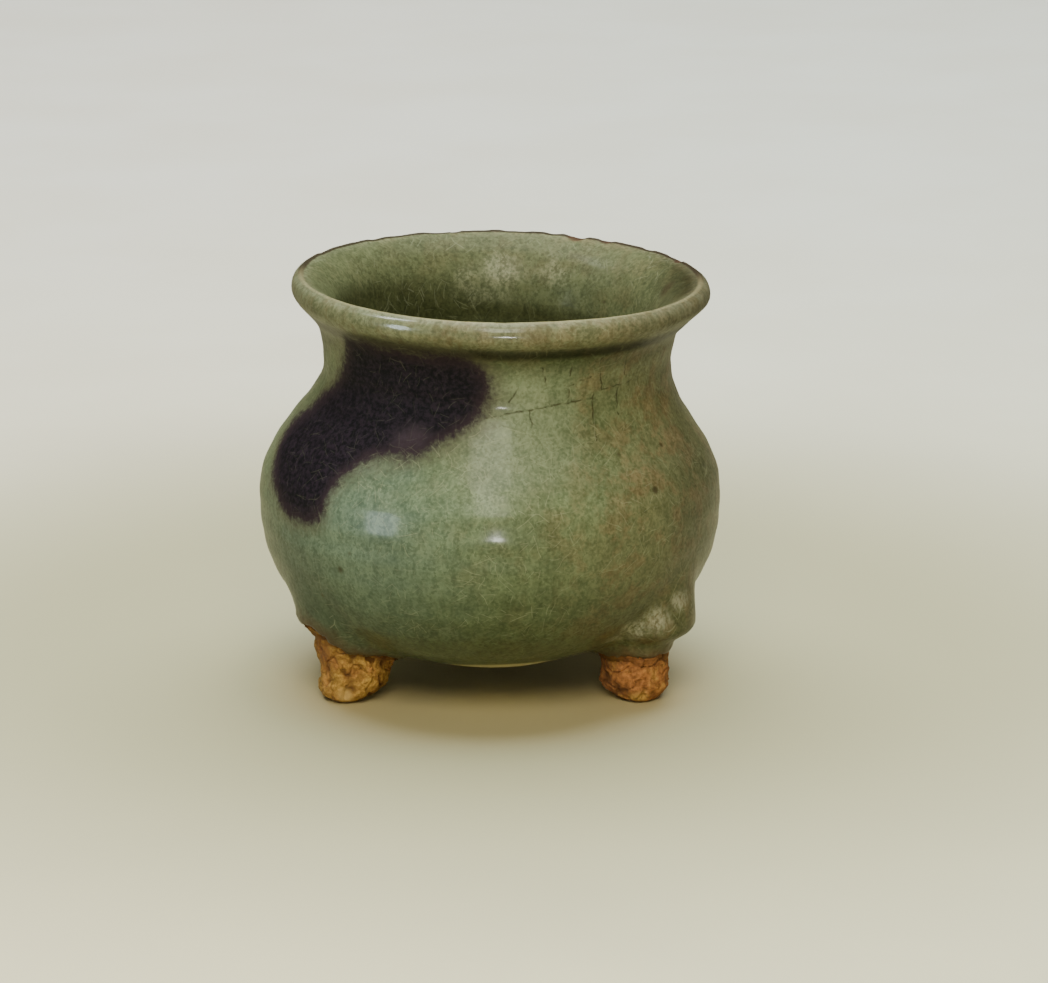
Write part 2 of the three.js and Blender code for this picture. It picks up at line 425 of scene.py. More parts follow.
# %% [markdown]
# Wheel and hand leave faint rings and a slow wobble in the wall, glaze has gathered in a long low drip
# under the bowl, and a long life has frayed and chipped the rim, most of all at the back. These are
# fractions of a millimetre, but in a glossy coat they bend every reflection, so they belong in the mesh.

# %% Handwork and wear in the skin
ring_height = 0.045
ring_spacing = 4.6
wobble_height = 0.22
wobble_size = 26.0
ripple_height = 0.05
ripple_size = 5.0

rings = ring_height * np.sin(2 * math.pi * (height + 1.2 * np.sin(azimuths + 0.6)) / ring_spacing)
wobble = wobble_height * small_noise(skin, wobble_size, 3.0)
ripple = ripple_height * small_noise(skin, ripple_size, 11.0)

rim_chips = [
    dict(azimuth=67, width=2.6, depth=0.28),
    dict(azimuth=57, width=2.0, depth=0.22),
    dict(azimuth=25, width=1.8, depth=0.25),
    dict(azimuth=104, width=1.2, depth=0.2),
    dict(azimuth=318, width=1.2, depth=0.15),
]
worn_rim = dict(azimuth=58, width=24, depth=0.1)
crest_width = 0.7
ragged_size = 3.4
ragged_back = 0.42
ragged_front = 0.12


def rim_point(azimuth):
    turn = math.radians(azimuth)
    x = lip_radius * math.cos(turn)
    y = lip_radius * math.sin(turn)
    centre = neck_lean + rim_lean
    return np.array([x + centre, y, lip_height + math.tan(rim_dip) * y - math.tan(rim_tilt) * x])


crest = np.exp(-(((np.arange(len(skin)) - lip_row) * row_spacing / crest_width) ** 2))[:, None]
crest = np.broadcast_to(crest, skin.shape[:2])
near_crest = crest > 0.02
ragged = np.zeros(skin.shape[:2])
ragged[near_crest] = np.maximum(small_noise(skin[near_crest], ragged_size, 5.0) + 0.1, 0)
ragged_depths = ragged_front + (ragged_back - ragged_front) * eased(np.sin(azimuths), -0.2, 0.7)

chipped = np.zeros(skin.shape[:2])
for chip in rim_chips:
    away = np.linalg.norm((skin - rim_point(chip["azimuth"])) / (1, 1, 0.8), axis=2)
    chipped += chip["depth"] * (1 - eased(away, 0.35 * chip["width"], chip["width"]))
turn_from_wear = np.degrees(np.angle(np.exp(1j * (azimuths - math.radians(worn_rim["azimuth"])))))
wear_share = np.exp(-((turn_from_wear / worn_rim["width"]) ** 2)) * eased(height, rim_height, lip_height)

drip = dict(middle=(2.5, -18.5, 6.8), half_length=11.0, half_width=1.8, height=0.6)
from_drip = (skin - drip["middle"]) / (drip["half_length"], 4 * drip["half_width"], drip["half_width"])
bead = np.exp(-((from_drip**2).sum(2)))

relief = rings + wobble + ripple + edge_sink + edge_roll + drip["height"] * bead
skin = skin + skin_normals * relief[..., None]
skin[..., 2] -= chipped + worn_rim["depth"] * wear_share + ragged * crest * ragged_depths

# %% [markdown]
# Skin and feet are both rings of points stacked in rows, so one function turns either into a mesh. Values
# that belong to the points, such as the distance to the glaze's edge, ride along for the finish to read.

# %% Mesh from a grid of rings, closed by a point at each end
def ringed_mesh(name, grid, attributes):
    """grid holds rows of ring points in millimetres. Its first and last rows are single points."""
    rows, count = grid.shape[:2]
    points = np.vstack([grid[0, :1], grid[1:-1].reshape(-1, 3), grid[-1, :1]]) * MM
    ring = np.arange(count)
    following = (ring + 1) % count
    faces = []
    first = np.stack([np.zeros(count, int), 1 + following, 1 + ring], 1)
    faces.extend(first.tolist())
    for row in range(rows - 3):
        start = 1 + row * count
        above = start + count
        quads = np.stack([start + ring, start + following, above + following, above + ring], 1)
        faces.extend(quads.tolist())
    start = 1 + (rows - 3) * count
    last = np.stack([start + ring, start + following, np.full(count, len(points) - 1)], 1)
    faces.extend(last.tolist())
    mesh = bpy.data.meshes.new(name)
    mesh.from_pydata(points.tolist(), [], faces)
    mesh.shade_smooth()
    for label, values in attributes.items():
        flat = np.concatenate([values[0, :1], values[1:-1].ravel(), values[-1, :1]])
        attribute = mesh.attributes.new(label, "FLOAT", "POINT")
        attribute.data.foreach_set("value", flat.astype(np.float32))
    piece = bpy.data.objects.new(name, mesh)
    bpy.context.scene.collection.objects.link(piece)
    print(name, "has", len(points), "points")
    return piece


# %% [markdown]
# A brush of copper glaze went over the wet coat on the left shoulder and fired to a purple black with
# soft edges. Its outline is drawn as if seen square on. Each point of the skin gets its distance to that
# outline, so the finish can feather and stain the edge at will.

# %% Distance to the splash's outline
splash_azimuth = math.radians(232)
splash_edge = [
    (-0.17, 0.84), (0.15, 0.83), (0.45, 0.80), (0.46, 0.57), (0.38, 0.45), (0.24, 0.37),
    (0.04, 0.32), (-0.07, 0.19), (-0.13, 0.06), (-0.29, -0.01), (-0.47, 0.07), (-0.59, 0.19),
    (-0.61, 0.31), (-0.52, 0.42), (-0.36, 0.57), (-0.24, 0.71),
]


def signed_distance(points, outline):
    """Distance from 2-D points to a closed outline, positive inside it."""
    nearest = np.full(len(points), np.inf)
    inside = np.zeros(len(points), bool)
    for start, end in zip(outline, np.roll(outline, -1, 0)):
        side = end - start
        share = np.clip((points - start) @ side / (side @ side), 0, 1)
        nearest = np.minimum(nearest, np.linalg.norm(points - start - share[:, None] * side, axis=1))
        crosses = (start[1] > points[:, 1]) != (end[1] > points[:, 1])
        level = (points[:, 1] - start[1]) / (end[1] - start[1] if end[1] != start[1] else 1)
        inside ^= crosses & (points[:, 0] < start[0] + level * side[0])
    return np.where(inside, nearest, -nearest)


splash_size = np.array([belly_radius, lip_height - belly_height])
edge_points = (np.array(splash_edge) * splash_size + (0, belly_height)).tolist()
splash_outline = smooth_line(edge_points + edge_points[:1], 96)[:-1]
across = skin[..., 1] * math.cos(splash_azimuth) - skin[..., 0] * math.sin(splash_azimuth)
facing = skin[..., 0] * math.cos(splash_azimuth) + skin[..., 1] * math.sin(splash_azimuth)
flat_view = np.stack([across.ravel(), skin[..., 2].ravel()], 1)
splash = signed_distance(flat_view, splash_outline).reshape(across.shape)
splash = np.where((facing > 0) & (np.arange(len(skin)) <= lip_row)[:, None], splash, -50.0)

# %% [markdown]
# The skin wraps the whole pot, outside and in, so it stands for the thrown body as well as for the two
# coats and the splash. The body's lip comes within a tenth of a millimetre of the skin, too close for both
# to be shown.

# %% The glazed skin as one piece
inside_share = eased(np.arange(len(skin)), lip_row - 2, lip_row + 6)[:, None]
inside_share = np.broadcast_to(inside_share, splash.shape)
skin_values = {"splash": splash, "cover": cover, "chipped": chipped}
skin_values.update({"crest": crest, "inside": inside_share, "bead": bead})
glazed_pot = ringed_mesh("glazed_pot", skin, skin_values)
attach(glazed_pot, "root")
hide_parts("thrown_body", "outer_glaze", "inner_glaze", "purple_splash")

# %% [markdown]
# The feet were pinched from a coarser, sandier lump, and their tips are bare. A foot is a grid of rings
# round its own upright axis. At each height and turn a ray goes out until it meets the surface that bowl,
# knee and post share, so the clay flows into the knee, and where glaze covers it the clay is tucked in
# underneath. The foot splays a little towards its sole, which is worn to a bevel. Rough clay shows in its
# outline, so pits, lumps and creases are in the mesh.

# %% Feet
foot_shapes = {
    "front_left": dict(bevel=0.3, bevel_from=0.8, bevel_azimuth=5, splay=1.7, seed=2.0),
    "front_right": dict(bevel=0.26, bevel_from=0.4, bevel_azimuth=186, splay=0.8, seed=9.0),
    "back": dict(bevel=0.3, bevel_from=1.0, bevel_azimuth=260, splay=1.0, seed=21.0),
}
foot_columns = 200
foot_rows = 130
sole_rows = 22
disc_rows = 12
foot_slide_step = 0.8
foot_top = 15.0
sole_rounding = 4.1
sole_rise = 4.6
sole_radius = ankle_radius - sole_rounding
clay_sink = 0.3
flare_foot = 3.6
flare_limit = 10.0
top_in_wall = 2.4
under_glaze_inset = 1.3
tuck_from = 0.7
tuck_to = 2.0
rough_sizes = [(4.6, 0.75), (2.1, 0.42), (0.95, 0.17), (0.42, 0.06)]
pit_size = 1.6
pit_depth = 1.2
pit_level = 0.22
crease_size = 3.4
crease_depth = 0.42
crease_width = 0.09


def bowl_underside(across):
    share = np.clip(across / belly_radius, 0, 1)
    depth = (1 - share**bowl_fullness) ** (1 / bowl_fullness)
    return belly_height - (belly_height - base_clearance) * depth


def foot_heights():
    """Heights of the rings, close together round the edge of the sole."""
    turns = np.linspace(0, math.pi / 2, sole_rows)
    edge = sole_rise * (1 - np.cos(turns))
    return np.concatenate([edge, np.linspace(sole_rise, foot_top, foot_rows)[1:]])


def foot_radius(heights, angles, foot, middle):
    """The clay's distance from the foot's axis at each height and turn. Under the glaze it is tucked in."""
    drop = np.clip(1 - heights / sole_rise, 0, 1)
    own = sole_radius + sole_rounding * np.sqrt(1 - drop**2)
    own = np.broadcast_to(own[:, None], (len(heights), len(angles)))
    flare = flare_limit * eased(heights, flare_foot, foot_top)[:, None]
    directions = np.stack([np.cos(angles), np.sin(angles), np.zeros_like(angles)], 1)
    directions = np.broadcast_to(directions, own.shape + (3,))
    start = np.zeros(own.shape + (3,))
    start[..., :2] = middle
    start[..., 2] = heights[:, None]
    reach = slide_out(
        start,
        directions,
        lambda points, gone: foot_surface(points, foot, bowl_distance(points), -1.0) + clay_sink,
        foot_slide_step,
        ankle_radius + flare_limit,
    )
    flared = np.minimum(np.maximum(own - clay_sink, reach), own + flare)
    tuck = eased(glaze_cover(start + directions * flared[..., None]), tuck_from, tuck_to)
    return flared - tuck * (flared - own + clay_sink)


def make_foot(name):
    foot = feet[name]
    shape = foot_shapes[name]
    turn = math.radians(foot["azimuth"])
    middle = np.array([ankle_circle * math.cos(turn) + tripod_offset, ankle_circle * math.sin(turn)])
    heights = foot_heights()
    angles = np.linspace(0, 2 * math.pi, foot_columns, endpoint=False)
    radii = foot_radius(heights, angles, foot, middle)
    rings = np.stack([radii * np.cos(angles), radii * np.sin(angles), radii * 0 + heights[:, None]], 2)
    ends = [np.zeros((1, foot_columns, 3)) + (0, 0, height) for height in (0.0, foot_top)]
    sole_disc = rings[:1] * np.linspace(0.15, 0.95, disc_rows)[:, None, None]
    grid = np.concatenate([ends[0], sole_disc, rings, ends[1]])
    splay = shape["splay"] * np.clip(1 - grid[..., 2:] / sole_rise, 0, 1) ** 2
    grid[..., :2] += middle + splay * (math.cos(turn), math.sin(turn))
    ceiling = bowl_underside(np.hypot(grid[..., 0], grid[..., 1])) + top_in_wall
    grid[..., 2] = np.minimum(grid[..., 2], ceiling)
    normals = grid_normals(grid)
    rough = sum(height * small_noise(grid, size, shape["seed"]) for size, height in rough_sizes)
    rough -= pit_depth * np.maximum(small_noise(grid, pit_size, shape["seed"] + 5) - pit_level, 0)
    off_crease = np.abs(small_noise(grid, crease_size, shape["seed"] + 9)) / crease_width
    rough -= crease_depth * (1 - eased(off_crease, 0, 1))
    foot_cover = glaze_cover(grid)
    bare_here = 1 - eased(foot_cover, -0.2, 0.6)
    relief = rough * eased(grid[..., 2], -0.3, 1.5) * bare_here
    grid = grid + normals * (relief - under_glaze_inset * eased(foot_cover, 0.3, 1.2))[..., None]
    turn = math.radians(shape["bevel_azimuth"])
    along = (grid[..., 0] - middle[0]) * math.cos(turn) + (grid[..., 1] - middle[1]) * math.sin(turn)
    worn = shape["bevel"] * np.maximum(along + shape["bevel_from"], 0)
    worn_share = 1 - eased(grid[..., 2], worn + 0.4, worn + 2.5)
    unworn = np.maximum(grid[..., 2], 0)
    grid[..., 2] = unworn * (1 - worn_share) + worn_share * np.maximum(grid[..., 2], worn)
    piece = ringed_mesh("clay_foot_" + name, grid, {"hollow": -rough, "cover": foot_cover})
    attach(piece, "root")
    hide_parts("foot_" + name)
    return piece


clay_feet = [make_foot(name) for name in feet]

# %% [markdown]
# Finishes come next. A finish is worked out from values that change over the surface, and each of them is
# one output of a node. Wrapped as a Field, such an output can be added, subtracted, multiplied or divided
# with the usual signs, and each sign makes the Math node. The rest puts nodes in a tree, spreads a value
# between two limits, mixes two colours and makes noise.

# %% Fields and node helpers
class Field:
    """One output of a node. Signs between Fields make Math nodes in the same tree."""

    def __init__(self, socket):
        self.socket = socket

    def __add__(self, other):
        return maths("ADD", self, other)

    def __sub__(self, other):
        return maths("SUBTRACT", self, other)

    def __rsub__(self, other):
        return maths("SUBTRACT", other, self)

    def __mul__(self, other):
        return maths("MULTIPLY", self, other)

    def __truediv__(self, other):
        return maths("DIVIDE", self, other)

    def __rtruediv__(self, other):
        return maths("DIVIDE", other, self)

    def __abs__(self):
        return maths("ABSOLUTE", self)


def feed(node, inputs):
    """Links Fields to a node's inputs, and sets plain numbers, places and colours on them."""
    for name, value in inputs.items():
        if isinstance(value, Field):
            node.id_data.links.new(value.socket, node.inputs[name])
        else:
            node.inputs[name].default_value = value


def put(tree, kind, inputs=None, **settings):
    node = tree.nodes.new(kind)
    for name, value in settings.items():
        setattr(node, name, value)
    feed(node, inputs or {})
    return node


def made(tree, kind, inputs=None, output=0, **settings):
    """One output of a new node."""
    return Field(put(tree, kind, inputs, **settings).outputs[output])


def fields(node):
    return {socket.name: Field(socket) for socket in node.outputs}


def tree_of(*values):
    return next(value.socket.id_data for value in values if isinstance(value, Field))


def maths(operation, first, second=0.0):
    return made(tree_of(first, second), "ShaderNodeMath", {0: first, 1: second}, operation=operation)


def highest(first, *others):
    for other in others:
        first = maths("MAXIMUM", first, other)
    return first


def remap(value, low, high, to_low=0.0, to_high=1.0):
    """Spreads a value smoothly, so that low becomes to_low and high becomes to_high."""
    ranges = {"Value": value, "From Min": low, "From Max": high, "To Min": to_low, "To Max": to_high}
    return made(tree_of(value), "ShaderNodeMapRange", ranges, interpolation_type="SMOOTHSTEP")


def mixed(share, first, second, blend_type="MIX"):
    colors = {0: share, 6: first, 7: second}
    return made(tree_of(share), "ShaderNodeMix", colors, 2, data_type="RGBA", blend_type=blend_type)


def between(share, first, second):
    """A number instead of a colour."""
    return made(tree_of(share), "ShaderNodeMix", {0: share, 2: first, 3: second}, data_type="FLOAT")


def vectors(operation, first, second=(0, 0, 0)):
    output = "Value" if operation in ("DOT_PRODUCT", "DISTANCE") else 0
    inputs = {0: first, 1: second}
    return made(tree_of(first), "ShaderNodeVectorMath", inputs, output, operation=operation)


def scaled(vector, amount):
    inputs = {0: vector, "Scale": amount}
    return made(tree_of(vector), "ShaderNodeVectorMath", inputs, operation="SCALE")


def place(tree):
    """The point on the piece, in millimetres."""
    return scaled(made(tree, "ShaderNodeTexCoord", output="Object"), 1 / MM)


def grain(where, size, detail=2.0, roughness=0.5, stretch=(1, 1, 1), turn=(0, 0, 0)):
    """Noise between 0 and 1 with features of about size millimetres."""
    tree = tree_of(where)
    mapped = made(tree, "ShaderNodeMapping", {"Vector": where, "Scale": stretch, "Rotation": turn})
    values = {"Vector": mapped, "Scale": 1 / size, "Detail": detail, "Roughness": roughness}
    return made(tree, "ShaderNodeTexNoise", values)


def attribute(tree, name):
    return made(tree, "ShaderNodeAttribute", output="Fac", attribute_name=name)


def bumped(height, depth, strength):
    inputs = {"Height": height, "Distance": depth * MM, "Strength": strength}
    return made(tree_of(height), "ShaderNodeBump", inputs)


def color(red, green, blue):
    """A colour given as seen on a screen, turned into light."""
    return tuple(((v / 255 + 0.055) / 1.055) ** 2.4 for v in (red, green, blue)) + (1.0,)


def effect(name, inputs, outputs):
    """An empty node group with its sockets. Returns it, what it is given, and the node for its results."""
    group = bpy.data.node_groups.new(name, "ShaderNodeTree")
    for label, kind, value in inputs:
        socket = group.interface.new_socket(label, in_out="INPUT", socket_type="NodeSocket" + kind)
        socket.default_value = value
    for label, kind in outputs:
        group.interface.new_socket(label, in_out="OUTPUT", socket_type="NodeSocket" + kind)
    return group, fields(group.nodes.new("NodeGroupInput")), group.nodes.new("NodeGroupOutput")


def placed(tree, group, inputs):
    """A group placed in a tree with its own values. Returns its outputs."""
    node = tree.nodes.new("ShaderNodeGroup")
    node.node_tree = group
    feed(node, inputs)
    return fields(node)


def new_material(name):
    material = bpy.data.materials.new(name)
    material.use_nodes = True
    tree = material.node_tree
    return material, tree, tree.nodes["Principled BSDF"]


origin = (0, 0, 0)

# %% [markdown]
# A soft patch is a ball of colour in space with a ragged edge. Glaze pools, thins and takes smoke in such
# patches, and they also carry painted shade and a painted reflection. One group serves them all.

# %% Soft patch
patch_inputs = [
    ("Where", "Vector", origin),
    ("Middle", "Vector", origin),
    ("Radius", "Float", 10.0),
    ("Ragged", "Float", 3.0),
]
patch, given, result = effect("soft_patch", patch_inputs, [("Mask", "Float")])
ragged = grain(given["Where"], 4.0, 3.0) - 0.5
distance = vectors("DISTANCE", given["Where"], given["Middle"]) + ragged * given["Ragged"]
feed(result, {"Mask": remap(distance / given["Radius"], 1.0, 0.25)})


def spot(where, middle, radius, ragged):
    values = {"Where": where, "Middle": middle, "Radius": radius, "Ragged": ragged}
    return placed(tree_of(where), patch, values)["Mask"]


# %% [markdown]
# Bare clay shows on the feet and under the glaze's edge. It is sandy and iron-stained, so its colour
# wanders from straw through orange to rust in blotches. Dirt sits in the hollows, which the foot's mesh
# gives as a value, and glaze has soaked in and browned the clay next to its edge. A few placed stains
# make each foot its own.

# %% Bare clay
clay, given, result = effect(
    "bare_clay",
    [
        ("Where", "Vector", origin),
        ("Redness", "Float", 0.5),
        ("Hollow", "Float", 0.0),
        ("Cover", "Float", -9.0),
        ("Soak", "Float", 2.0),
    ],
    [("Color", "Color"), ("Roughness", "Float"), ("Height", "Float")],
)
where = given["Where"]
blotches = grain(where, 3.4, 4.0, 0.6)
fine_grain = grain(where, 0.8, 4.0, 0.65)
pits = remap(grain(where, 1.3, 3.0, 0.6), 0.38, 0.28)
tone = remap(blotches + given["Redness"] * 0.35, 0.45, 0.85)
sand = mixed(remap(fine_grain, 0.35, 0.7), color(124, 93, 38), color(180, 143, 74))
rust = mixed(remap(fine_grain, 0.3, 0.7), color(116, 74, 38), color(172, 116, 66))
body = mixed(tone, sand, rust)
body = mixed(pits * 0.5, body, color(74, 46, 22))
dirt = remap(given["Hollow"] + fine_grain * 0.3, 0.25, 0.85)
body = mixed(dirt * 0.8, body, color(82, 52, 22))
streaks = grain(where, 1.2, 3.0, 0.6, (1, 1, 0.3)) * given["Soak"]
soaked = remap((given["Cover"] + streaks) / given["Soak"], -0.5, 0.7)
body = mixed(soaked * 0.75, body, color(96, 62, 32))
clay_roughness = remap(fine_grain, 0.2, 0.8, 0.75, 0.95)
feed(result, {"Color": body, "Roughness": clay_roughness, "Height": fine_grain - pits * 0.6})


def clay_material(name, redness, reaches_glaze=False, soak=2.0, stains=()):
    material, tree, shader = new_material(name)
    where = place(tree)
    values = {"Where": where, "Redness": redness, "Soak": soak}
    values["Hollow"] = attribute(tree, "hollow")
    values["Cover"] = attribute(tree, "cover") if reaches_glaze else -9.0
    surface = placed(tree, clay, values)
    body = surface["Color"]
    for middle, radius, tint in stains:
        body = mixed(spot(where, middle, radius, 2.0) * 0.8, body, color(*tint))
    feed(shader, {"Base Color": body, "Roughness": surface["Roughness"], "Specular IOR Level": 0.25})
    feed(shader, {"Normal": bumped(surface["Height"], 0.35, 0.9)})
    return material


left_stains = [
    ((-18.9, -17.5, 8.4), 2.6, (84, 46, 26)),
    ((-28.5, -17, 9.0), 5.0, (122, 78, 44)),
    ((-25, -19, 1.8), 1.8, (178, 148, 88)),
]
right_stains = [((25.5, -19, 0.8), 2.6, (176, 140, 74))]
foot_looks = {
    "front_left": dict(redness=0.1, soak=1.0, stains=left_stains),
    "front_right": dict(redness=0.85, soak=2.6, stains=right_stains),
    "back": dict(redness=0.4, soak=1.6),
}
for piece, name in zip(clay_feet, feet):
    piece.data.materials.append(clay_material("clay_" + name, reaches_glaze=True, **foot_looks[name]))

# %% [markdown]
# The glaze is a cloudy glass full of fine bubbles, with threads where it flowed. Close up it has a grain
# of half a millimetre, short runs drawn out downwards, and a few pale threads. One noise makes each of
# these, their sum is the mottle, and a slow noise makes clouds. Stray pinholes burst at the surface.

# %% Mottling of the glaze
mottle_outputs = [("Flecks", "Float"), ("Clouds", "Float"), ("Pinholes", "Float")]
mottle, given, result = effect("glaze_mottle", [("Where", "Vector", origin)], mottle_outputs)
where = given["Where"]
fine_grain = remap(grain(where, 0.55, 2.0, 0.5), 0.28, 0.72)
runs = remap(grain(where, 1.3, 3.0, 0.6, (1, 1, 0.4)), 0.28, 0.72)
off_thread = abs(grain(where, 2.2, 3.0, 0.6) - 0.5)
threads = remap(off_thread, 0.035, 0.0)
flecks = fine_grain * 0.36 + runs * 0.3 + threads * 0.16 + 0.14
cells = {"Vector": where, "Scale": 0.085}
holes = made(mottle, "ShaderNodeTexVoronoi", cells, "Distance", feature="F1")
pinholes = remap(holes, 0.055, 0.02)
feed(result, {"Flecks": flecks, "Clouds": grain(where, 9.0, 3.0, 0.55), "Pinholes": pinholes})

# %% [markdown]
# Use leaves hair-fine pale scratches. Space is cut into cells, and each cell gets a plane through its
# middle, turned by the cell's own random colour. Where the plane meets the skin it draws one straight
# hairline, which ends with the cell. A plane that lies almost flat on the skin would draw a loop, so it
# is left out. Some cells get none, and several sizes of cell cross each other.

# %% Scratches
scratch_inputs = [
    ("Where", "Vector", origin),
    ("Length", "Float", 6.0),
    ("Width", "Float", 0.09),
    ("Share", "Float", 0.5),
    ("Outwards", "Vector", (0, 0, 1)),
]
scratches, given, result = effect("scratches", scratch_inputs, [("Mask", "Float")])
middle_grey = (0.5, 0.5, 0.5)
slow = {"Vector": given["Where"], "Scale": 0.25, "Detail": 1.0}
drift = vectors("SUBTRACT", made(scratches, "ShaderNodeTexNoise", slow, "Color"), middle_grey)
bent = vectors("ADD", given["Where"], scaled(drift, 1.5))
cells = {"Vector": bent, "Scale": 1.0 / given["Length"]}
cell = fields(put(scratches, "ShaderNodeTexVoronoi", cells, feature="F1"))
turned = vectors("NORMALIZE", vectors("SUBTRACT", cell["Color"], middle_grey))
off_plane = abs(vectors("DOT_PRODUCT", vectors("SUBTRACT", bent, cell["Position"]), turned))
hairline = remap(off_plane, given["Width"], 0.0)
random_share = made(scratches, "ShaderNodeSeparateXYZ", {0: cell["Color"]})
chosen = maths("LESS_THAN", random_share, given["Share"])
facing = abs(vectors("DOT_PRODUCT", turned, given["Outwards"]))
ends = remap(cell["Distance"], 0.55, 0.35) * remap(facing, 0.85, 0.6)
feed(result, {"Mask": hairline * chosen * ends})

# %% [markdown]
# The glaze has shrunk more than the clay and crazed on the neck and just below it, in front and to the
# right. Those cracks are few and long, so each is drawn as straight pieces between places given by azimuth
# and height, in an unrolled view of the neck, with a little noise to make it wander.

# %% One crack
crack_inputs = [
    ("Unrolled", "Vector", origin),
    ("From", "Vector", origin),
    ("To", "Vector", (1, 0, 0)),
    ("Width", "Float", 0.27),
]
crack, given, result = effect("crack", crack_inputs, [("Mask", "Float")])
run = vectors("SUBTRACT", given["To"], given["From"])
gone = vectors("SUBTRACT", given["Unrolled"], given["From"])
share = vectors("DOT_PRODUCT", gone, run) / vectors("DOT_PRODUCT", run, run)
share = made(crack, "ShaderNodeClamp", {"Value": share})
away = vectors("DISTANCE", gone, scaled(run, share))
feed(result, {"Mask": remap(away, given["Width"], 0.0)})

# %% [markdown]
# Now the glaze itself. One Principled shader carries it all. Its colour is built up in layers, as the
# kiln did: the flecked green ground, warmer where the coat thins over the rim and on the right, bluer low
# on the left, milky on the shoulder and olive inside, then the copper splash, the cracks, the scratches,
# and bare clay where the coat is missing.

# %% Ground of the glaze
glaze, tree, shader = new_material("green_glaze")
where = place(tree)
flow = placed(tree, mottle, {"Where": where})
x, y, z = fields(put(tree, "ShaderNodeSeparateXYZ", {0: where})).values()
inside = attribute(tree, "inside")
outside_share = 1.0 - inside
fleck_share = remap(flow["Flecks"], -0.05, 1.05)


def flecked(dark, light):
    return mixed(fleck_share, color(*dark), color(*light))


ground = flecked((72, 86, 56), (122, 138, 102))
warm = flecked((74, 79, 50), (122, 124, 88))
tan = flecked((88, 78, 50), (138, 124, 90))
cool = flecked((70, 91, 78), (118, 140, 122))
milky = flecked((104, 118, 90), (152, 164, 134))
olive = flecked((58, 65, 41), (98, 104, 72))

cloud = (flow["Clouds"] - 0.5) * 30.0
warm_right = remap(x + cloud, 2.0, 34.0)
warm_rim = remap(z + cloud * 0.2, 61.0, 67.0) * remap(x, -26.0, 6.0, 0.3, 0.85)
warm_share = highest(warm_right, warm_rim)
cool_share = spot(where, (-26, -30, 28), 34.0, 12.0)
milky_share = spot(where, (4, -32, 52), 17.0, 8.0)
tan_cloud = remap(grain(where, 5.0, 4.0, 0.66), 0.45, 0.62)
tan_share = tan_cloud * remap(warm_share, 0.0, 1.0, 0.16, 0.8)
green = mixed(warm_share, ground, warm)
green = mixed(tan_share, green, tan)
green = mixed(cool_share * 0.8, green, cool)
green = mixed(milky_share * 0.75, green, milky)
green = mixed(inside * 0.8, green, olive)
green = mixed(flow["Pinholes"] * 0.7, green, color(56, 50, 30))

# %% [markdown]
# Shade is painted into the coat low on the bowl, in the groove under the rim and under the bead's edge,
# inside the mouth, towards the two ends of the rim and on the two flanks of the belly, and a slow cloud of
# tone goes over it all. Each is a mask that multiplies the colour. Most go by height, which near the rim
# is measured along its tilt, and the two on the flanks are soft patches.

# %% Painted shade and a cloud of tone
# Painted shade: the coat is darker low on the bowl, where little light reaches it.
low_painted_shade = remap(z + cloud * 0.25, 36.0, 17.0) * remap(z, 8.0, 14.0, 0.1, 1.0)
green = mixed(low_painted_shade * outside_share, green, color(206, 206, 194), "MULTIPLY")
value_cloud = remap(grain(where, 13.0, 3.0, 0.55), 0.36, 0.64)
green = mixed(value_cloud * 0.5, green, color(222, 222, 218), "MULTIPLY")
level = z + x * math.tan(rim_tilt)
# Painted shade: the groove under the rim and a narrow band under the bead's edge are darkened for the rim's
# shadow.
under_rim_painted_shade = remap(level, 59.6, 63.0) * remap(level, 67.6, 66.4) * outside_share
green = mixed(under_rim_painted_shade * 0.55, green, color(150, 144, 120), "MULTIPLY")
under_edge_painted_shade = remap(level, 63.6, 65.0) * remap(level, 66.9, 66.0)
green = mixed(under_edge_painted_shade * outside_share, green, color(132, 128, 104), "MULTIPLY")
# Painted shade inside the mouth, lower down the wall and reaching higher up on the left.
mouth_painted_shade = remap(level + x * 0.17, 65.0, 59.5) * inside
green = mixed(mouth_painted_shade, green, color(186, 184, 170), "MULTIPLY")
# Painted shade towards the two ends of the rim, where light falls off at the sides, and on the inner right.
rim_left_painted_shade = remap(x, -20.0, -34.0) * outside_share * 0.5
rim_right_painted_shade = highest(remap(x, 16.0, 33.0) * outside_share, remap(x, 27.0, 35.0))
rim_ends_painted_shade = highest(rim_left_painted_shade, rim_right_painted_shade) * remap(level, 62.0, 66.0)
green = mixed(rim_ends_painted_shade, green, color(152, 146, 130), "MULTIPLY")
# Painted shade: two soft patches darken the belly's left and right flanks.
for middle in [(-37, -16, 22), (40, -14, 34)]:
    green = mixed(spot(where, middle, 22.0, 6.0), green, color(208, 210, 214), "MULTIPLY")

# %% [markdown]
# The copper splash follows its distance field. Noise feathers the edge, a thin brown halo lies outside it
# and a plum fringe just inside. The middle is close to black, with a greyish plum painted reflection of a
# lamp in one place.

# %% Copper splash
feather = grain(where, 1.3, 4.0, 0.65) - 0.5
slow_feather = grain(where, 6.0, 2.0) - 0.5
fine_feather = grain(where, 0.7, 3.0, 0.6) - 0.5
splash_depth = attribute(tree, "splash") + feather * 2.0 + fine_feather * 2.6 + slow_feather * 3.0
halo = remap(splash_depth, -3.4, 0.0) * 0.55
green = mixed(halo, green, color(80, 78, 62))
purple = mixed(remap(grain(where, 0.75, 3.0, 0.7), 0.36, 0.66), color(3, 2, 5), color(35, 26, 36))
